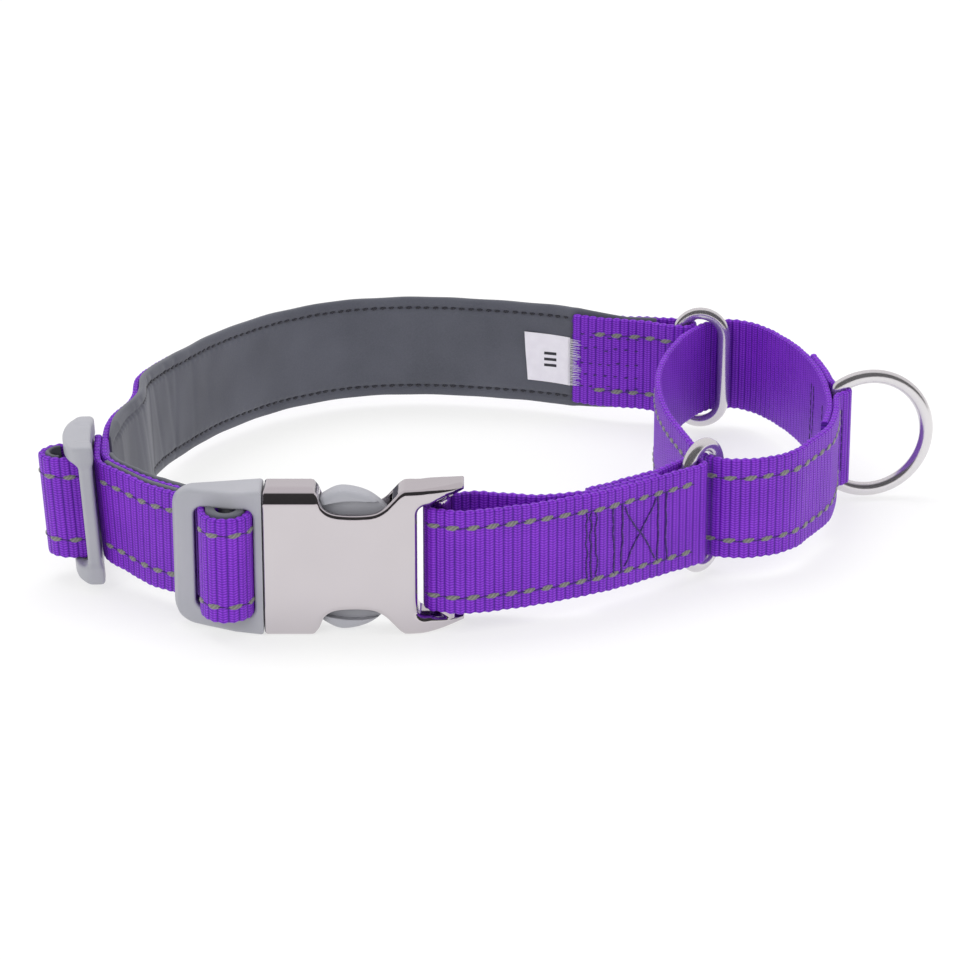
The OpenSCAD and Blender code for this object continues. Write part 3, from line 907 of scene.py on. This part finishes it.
def label_lift(s, z):
    """How far the label's free end curls away from the padding."""
    free = unit((s - label_s0) / (label_s1 - label_s0))
    return 0.55 * free**2 + 0.12 * np.sin(0.5 * z + 1.0) * free


def label_shape(s, n, z):
    z = z - 0.7 + 0.035 * (s - label_s0) - 0.3
    lean = (s - label_s0) / (label_s1 - label_s0)
    return s + lean * 0.075 * z, n + label_lift(s, z), z


label = strap("size_label_tape", whole, label_s0, label_s1, half_w=LABEL_HALF, half_t=0.13, steps=30,
              radius=0.12, shift=label_n, step=0.35, change=label_shape)
finish_piece(label, LABEL, "back_strap", ["size_label"])
label_frays = Mesh()
fray_z = np.linspace(-7.6, 5.6, 44) + rng.uniform(-0.1, 0.1, 44)
fibres(label_frays, whole, label_s0 + 0.1, -1, fray_z, label_n + 0.35, 0.09, 2.0, 3.7, 0.3)
label_frays.finish("label_frayed_ends", LABEL, "back_strap")
marks = Mesh()
for i in range(3):
    s = np.linspace(-1.9, 1.9, 9)[:, None] + label_s0 + 6.3
    b = circle(10)[None]
    z = -1.0 + (i - 1) * 1.7
    zz = z + 0.42 * np.cos(b) + 0 * s
    n = label_n + 0.13 + label_lift(s, z) + 0.05 * np.sin(b)
    marks.grid(whole.place(s + 0 * b, n, zz), np.stack([s + 0 * b, b + 0 * s], -1))
marks.finish("label_mark_bars", BLACK, "back_strap")

# ---- Box stitches of the front strap and the loop ----
box_low, box_high = box_mm("front_box_stitching")
q0 = front.near((box_low[0] + 0.5, box_low[1] + 0.6), after=60)
q1 = front.near((box_high[0] - 0.3, box_high[1] - 0.3), after=60)
cross = Mesh()
for a, b in ((q0, q0 + 0.4), (q0 + 2.9, q0 + 2.7), (q1 - 3.1, q1 - 2.7), (q1 - 0.3, q1)):
    thread(cross, front, [a, b], [ROW_Z + 0.6, -ROW_Z - 0.6], -1, radius=0.26, wander=0.32)
for a in (q0 - 7.6, q0 - 6.4, q0 - 5.0):
    thread(cross, front, [a, a + 0.3], [ROW_Z + 0.2, -ROW_Z - 0.2], -1, radius=0.22, stitch=1.3,
           wander=0.35)
for a, b in ((q0 + 3.4, q1 - 3.4), (q1 - 3.4, q0 + 3.4)):
    thread(cross, front, [a, b], [ROW_Z - 0.5, -ROW_Z + 0.5], -1, radius=0.25, wander=0.3)
cross.finish("front_box_stitches", DARK, "front_strap", ["front_box_stitching"])
loop_box = Mesh()
loop_end = loop.length
for at in (bar_s - 6.6, bar_s - 3.4, loop_end - 20, loop_end - 17, loop_end - 4.5, loop_end - 2.2):
    thread(loop_box, loop, [at, at + 0.4], [ROW_Z + 0.4, -ROW_Z - 0.4], -1, wander=0.2)
for a, b in ((loop_end - 16, loop_end - 5), (loop_end - 5, loop_end - 16)):
    thread(loop_box, loop, [a, b], [ROW_Z - 0.5, -ROW_Z + 0.5], -1, wander=0.2)
for at in (6, 12, 20, 28, 44, 47):
    thread(loop_box, loop, [at, at + 0.5], [ROW_Z, -ROW_Z], 1, wander=0.25)
loop_box.finish("loop_box_stitches", DARK, "control_loop", ["loop_box_stitching"], squash=SQUASH)

# ---- Rings ----
WIRE, LEASH_WIRE, RING_H = 1.65, 1.75, 34.0  # radii of the wires, and height of every ring


def wire_ring(name, body, turn, path, radius):
    """A round wire swept along a closed line given as (away from the joint's axis, up)."""
    closed = np.vstack([path, path[:1]])
    run = run_length(closed)
    s = np.linspace(0, run[-1], 221)[:-1]
    q = sample(s, run, closed)
    for _ in range(4):
        q = 0.25 * np.roll(q, 1, 0) + 0.5 * q + 0.25 * np.roll(q, -1, 0)
    d = np.roll(q, -1, 0) - np.roll(q, 1, 0)
    d /= np.hypot(*d.T)[:, None]
    out = np.stack([d[:, 1], -d[:, 0]], 1)
    b = circle(28)
    flat = q[:, None] + out[:, None] * (radius * np.cos(b))[None, :, None]
    side = np.repeat((radius * np.sin(b))[None], len(q), 0)
    at = joint_at[body + "_swing"]
    c, sn = math.cos(math.radians(turn)), math.sin(math.radians(turn))
    x = at[0] + c * flat[..., 0] - sn * side
    y = at[1] + sn * flat[..., 0] + c * side
    pts = np.stack([x, y, flat[..., 1] + MID_Z], -1)
    around = len(b)
    i = np.arange(len(pts))[:, None]
    j = np.arange(around)[None]
    k, m = (j + 1) % around, (i + 1) % len(pts)
    quads = np.stack([i * around + j, i * around + k, m * around + k, m * around + j], -1)
    quads = quads.reshape(-1, 4)
    outward = pts[0, 0] - pts[0].mean(0)
    if np.cross(pts[0, 1] - pts[0, 0], pts[1, 0] - pts[0, 0]) @ outward < 0:
        quads = quads[:, ::-1]
    finish_piece(add_mesh(name, pts.reshape(-1, 3), quads), RING_METAL, body, [body])


def turn_points(cx, cz, r, start, end, count=40):
    """Points of a circle's arc between two angles."""
    a = np.radians(np.linspace(start, end, count))
    return np.stack([cx + r * np.cos(a), cz + r * np.sin(a)], 1)


OVAL_W = 16.0
OVAL_R = OVAL_W / 2 - WIRE
LEG = (RING_H - OVAL_W) / 2
oval = np.vstack([turn_points(OVAL_R, LEG, OVAL_R, 0, 180),
                  turn_points(OVAL_R, -LEG, OVAL_R, 180, 360)])
wire_ring("front_oval_ring", "front_ring", 51, oval, WIRE)
wire_ring("back_oval_ring", "back_ring", -8, oval, WIRE)
BOW_X, BOW_END = 8.7, 124  # the leash ring's middle, and where its round bow meets its straight bar
bow = turn_points(BOW_X, 0, RING_H / 2 - LEASH_WIRE, -BOW_END, BOW_END, 90)
wire_ring("leash_d_ring", "leash_ring", 9, bow, LEASH_WIRE)

# ---- Buckle ----
shell_low, shell_high = box_mm("buckle_shell")
frame_low, frame_high = box_mm("buckle_frame")
TALL = (shell_high[2] - shell_low[2]) / 2
FRONT = shell_low[1] - SHIFT[1]  # the shell's front face
BACK = FRONT + 10.5
MOUTH, TIP = shell_low[0] - SHIFT[0], shell_high[0] - SHIFT[0]
WALL, SLOT_X, WAIST = 1.6, -14.5, TALL - 6.0  # WAIST is half the height between the finger notches
HOLLOW_END, HOLLOW_HALF = -19.5, 15  # the room for the plug
BAR_X, BAR_Y, BAR_R = -8.2, -52.4, 2.1  # the crossbar that holds the front strap
PLAY = 0.5  # between the plug and the shell's inner walls


def plan_place(v, n):
    """From the drawing's zero point to the row's."""
    return v + SHIFT, n


half_edge = np.vstack([[[MOUTH - 4, TALL], [-39.0, TALL]], smooth_outline([
    [-38.4, TALL - 0.25], [-37.3, TALL - 1.7], [-36.2, WAIST + 1.9], [-34.2, WAIST + 0.5], [-31, WAIST],
    [-27, WAIST], [-24.2, WAIST + 0.4], [-22, WAIST + 1.6], [-20.2, WAIST + 3.4],
    [-18.6, TALL - 0.9], [-17.4, TALL - 0.1]]),
    [[-16.4, TALL], [-12, TALL], [TIP, 17], [TIP, 15.3], [SLOT_X + 3.2, 13.6]],
    turn_points(SLOT_X + 2, 11.6, 2, 90, 180, 8)])
shell_outline = np.vstack([half_edge, (half_edge * [1, -1])[::-1]])
shell_plan = np.vstack([[[MOUTH, BACK], [MOUTH, FRONT]], smooth_outline([
    [-19, FRONT], [-15.5, FRONT + 0.3], [-12.5, FRONT + 1.1], [-8, FRONT + 3.8], [TIP, -50.8]]),
    [[TIP, -44.4], [-9, BACK + 2], [-14, BACK]]])


def shell_field(x, y, z):
    """The metal shell: its plan and its face together, hollow at the mouth, with the crossbar."""
    plan_d = polygon_distance(x, y, shell_plan)
    face = polygon_distance(x, z, shell_outline)
    roll = 1.2 + 3.3 * unit((-23 - x) / 12) * (z > 0)     # wider over the left top
    ends = rounded_block(y, z, (FRONT, -TALL), (FRONT + 40, TALL), roll)
    body = both(both(plan_d, face, 1.4), ends, 0.25)
    hollow = cut_to(slab(x, MOUTH - 5, HOLLOW_END), slab(y, FRONT + WALL, BACK - WALL),
                    np.abs(z) - HOLLOW_HALF)
    body = both(body, -hollow, 0.25)
    bar = np.maximum(np.hypot(x - BAR_X, y - BAR_Y) - BAR_R, np.abs(z) - HOLLOW_HALF)
    return either(body, bar, 0.4)


shell = solid("buckle_shell_body", shell_field, [MOUTH, FRONT, -TALL], [TIP, BACK + 5, TALL],
              plan_place, 0.3)
finish_piece(shell, SHELL_METAL, "front_strap", ["buckle_shell"])

FRAME_X, FRAME_END = frame_low[0] - SHIFT[0], MOUTH - 0.2
frame_plan = np.array([
    [FRAME_X + 0.4, -48.9], [FRAME_X, -50.2], [FRAME_X + 1.3, -52.4], [-64, -55.4], [-57, -58.2],
    [FRAME_END, FRONT - 0.1], [FRAME_END, BACK], [-53, BACK], [-60, -48.7]])
WINDOW, WINDOW_X = 13.3, (-66.2, -52.2)  # half the window's height, and its two sides
WINDOW_BAR = (-58.6, -51.6)
TAPER = 0.075  # how much lower the frame is at its far end
TONGUE_END, TONGUE_HALF = -24.7, 5.5


def frame_field(x, y, z):
    """The plug: a tapered frame with a window and its bar, and the middle tongue inside the shell."""
    plan_d = polygon_distance(x, y, frame_plan)
    z = z * (1 + TAPER * unit((FRAME_END - x) / 20))
    face = rounded_block(x, z, (FRAME_X, -TALL), (FRAME_END + 9, TALL), 5.5)
    body = both(plan_d, face, 1.1)
    window = rounded_block(x, z, (WINDOW_X[0], -WINDOW), (WINDOW_X[1], WINDOW), 2.2)
    body = both(body, -window, 0.7)
    bar = np.maximum(np.hypot(x - WINDOW_BAR[0], y - WINDOW_BAR[1]) - BAR_R, np.abs(z) - WINDOW - 1)
    tongue = both(np.maximum(slab(y, FRONT + WALL + PLAY, BACK - WALL - PLAY),
                             slab(x, FRAME_END - 0.5, TONGUE_END)), np.abs(z) - TONGUE_HALF, 0.8)
    return either(either(body, bar, 0.5), tongue, 0.3)


plug = solid("buckle_frame_body", frame_field, [FRAME_X, FRONT - 0.2, -TALL], [-24.5, -47.5, TALL],
             plan_place, 0.3)
finish_piece(plug, PLASTIC, "adjuster", ["buckle_frame"])

latch_outline = np.vstack([
    smooth_outline([[-49.4, 12.2], [-43, 12.4], [-38.2, 13.4], [-36.2, 15.4], [-32, 17.2], [-26, 15.9],
                    [-21.4, 12.2], [-21, 9.6]]),
    smooth_outline([[-23, 8.6], [-31, 8.2], [-40, 7.8], [-49.4, 8]])])


GRIP_X, GRIP_Z = -29, 14.6  # the middle and the foot of the rounded grip a finger presses


def latch_field(x, y, z):
    """The upper latch arm, with a step in front of its grip."""
    face = FRONT + WALL + PLAY
    head = both(polygon_distance(x, z, latch_outline), slab(y, face, BACK - WALL - PLAY), 1.9)
    foot = z - GRIP_Z + 0.02 * (x - GRIP_X) ** 2
    step = cut_to(y - face - 1.7, foot, np.abs(x - GRIP_X) - 7.5)
    return both(head, -step, 0.12)


for name, sign in (("upper_latch", 1), ("lower_latch", -1)):
    def latch_place(v, n, sign=sign):
        return v * [1, 1, sign] + SHIFT, n * [1, 1, sign]
    arm = solid(name + "_arm", latch_field, [-49.8, FRONT, 7], [-20.5, BACK, 17.6], latch_place,
                mirrored=sign < 0)
    finish_piece(arm, PLASTIC, name, [name])

# ---- Slider ----
SLIDER_AT, SLIDER_TURN = np.array([-91, -19]) + SHIFT[:2], math.radians(95.15)
SLIDER_IN = 2.85  # from the strap's middle to the slider's inner face
SLIDER_L, SLIDER_H, SLIDER_T, ARCH = 24.0, 34.0, 3.2, 6.8
BAR_W, RAIL_H = 4.7, 3.9  # width of the end bars, height of the arched rails
MIDDLE_Y, MIDDLE_R = 4.6, 1.9  # the middle bar
arch = np.radians(np.linspace(0, 180, 60))
arch_outline = np.vstack([[[-SLIDER_L / 2, 0], [SLIDER_L / 2, 0]], np.stack([
    SLIDER_L / 2 * np.cos(arch), SLIDER_T + (ARCH - SLIDER_T) * np.sin(arch)], 1)])


def slider_field(x, y, z):
    """Two arched rails, two end bars and the middle bar."""
    rail = both(polygon_distance(x, y, arch_outline),
                np.abs(np.abs(z) - (SLIDER_H - RAIL_H) / 2) - RAIL_H / 2, 0.7)
    bars = np.abs(np.abs(x) - (SLIDER_L - BAR_W) / 2) - BAR_W / 2
    ends = both(both(bars, slab(y, 0, SLIDER_T), 0.9), np.abs(z) - SLIDER_H / 2 + 0.01, 0.5)
    middle = np.maximum(np.hypot(x, y - MIDDLE_Y) - MIDDLE_R, np.abs(z) - SLIDER_H / 2 + 2)
    return either(either(rail, ends, 1.6), middle, 0.5)


def slider_place(v, n):
    """From the slider's own axes to its place on the strap, where it leans with it."""
    c, sn = math.cos(SLIDER_TURN), math.sin(SLIDER_TURN)
    turn = np.array([[c, -sn, 0], [sn, c, 0], [0, 0, 1]])
    v = (v + [0, SLIDER_IN, 0]) @ turn.T
    return settle(v + [*SLIDER_AT, MID_Z]), n @ turn.T


slider = solid("slider_frame_body", slider_field, [-SLIDER_L / 2, 0, -SLIDER_H / 2],
               [SLIDER_L / 2, 7, SLIDER_H / 2], slider_place)
finish_piece(slider, PLASTIC, "slider", ["slider_frame"])

# ---- Floor, light and camera ----
FLOOR = 6.0  # half the floor's side, in metres
floor_mesh = bpy.data.meshes.new("floor")
floor_mesh.from_pydata([(-FLOOR, -FLOOR, 0), (FLOOR, -FLOOR, 0), (FLOOR, FLOOR, 0), (-FLOOR, FLOOR, 0)],
                       [], [(0, 1, 2, 3)])
floor = add_object("floor", floor_mesh)
floor_look = Look("pale_floor", Roughness=0.6, Specular_IOR_Level=0.1)
floor_look.set(Base_Color=floor_look.ramp(floor_look.grain(3, 1), (0.3, (0.34, 0.342, 0.337)),
                                          (0.7, (0.36, 0.362, 0.357))),
               Emission_Color=(0.635, 0.635, 0.632), Emission_Strength=1.0)
floor_mesh.materials.append(floor_look.material)


def area_light(name, at, aim, size, power):
    """A soft white light that metal doesn't mirror. Places and sizes are metres."""
    lamp = bpy.data.lights.new(name, "AREA")
    lamp.shape, lamp.energy = "RECTANGLE", power
    lamp.size, lamp.size_y = size
    obj = add_object(name, lamp)
    obj.location = at
    obj.rotation_mode = "QUATERNION"
    obj.rotation_quaternion = (Vector(aim) - Vector(at)).to_track_quat("-Z", "Y")
    obj.visible_glossy = False


area_light("overhead_softbox", (-0.15, 0.35, 0.9), (0, 0, 0), (0.9, 0.6), 4.0)
area_light("front_softbox", (-0.5, -0.9, 0.55), (0, 0, 0.01), (0.5, 0.4), 2.5)
area_light("right_softbox", (0.8, -0.1, 0.4), (-0.05, 0, 0.01), (0.5, 0.4), 1.2)

# The room is plain white, but metal mirrors bright and dark bands of it
world = bpy.data.worlds.new("studio")
bpy.context.scene.world = world
sky = Nodes(world)
plain, room = sky.tree.nodes["Background"], sky.node("ShaderNodeBackground")
sky.plug(plain.inputs[0], (1, 1, 1))
sky.plug(plain.inputs[1], 0.8)
split = sky.node("ShaderNodeSeparateXYZ")
sky.link(sky.node("ShaderNodeTexCoord").outputs["Generated"], split.inputs[0])
# The angle from the front horizon over the top as a share: 0.5 at that horizon, 1 at the back one
to_front = Value(sky, split.outputs[1]) * -1.0
share = sky.math("MULTIPLY_ADD", sky.math("ARCTAN2", Value(sky, split.outputs[2]), to_front),
                 1 / math.pi, 0.5)
BANDS = ((0.0, 0.75), (0.49, 0.85), (0.5, 1.0), (0.555, 1.0), (0.57, 0.04), (0.955, 0.05), (0.98, 0.6),
         (1.0, 0.8))
sky.plug(room.inputs[0], sky.ramp(share, *[(place, (level, 0.97 * level, 0.985 * level))
                                           for place, level in BANDS]))
choose = sky.node("ShaderNodeMixShader")
for source, socket in zip((sky.node("ShaderNodeLightPath").outputs["Is Glossy Ray"], plain.outputs[0],
                           room.outputs[0]), choose.inputs):
    sky.link(source, socket)
sky.link(choose.outputs[0], sky.tree.nodes["World Output"].inputs[0])

# The photograph's angle: level with its sides, looking down a little at the drawing's zero point
camera_data = bpy.data.cameras.new("camera")
camera_data.sensor_width, camera_data.lens = 36.0, 124.9
camera = add_object("camera", camera_data)
elevation, distance = math.radians(19.3), 0.8239
aim = Vector(SHIFT * MM)
camera.location = aim + distance * Vector((0, -math.cos(elevation), math.sin(elevation)))
camera.rotation_euler = (math.pi / 2 - elevation, 0, 0)
bpy.context.scene.camera = camera
bpy.context.scene.view_settings.view_transform = "Standard"
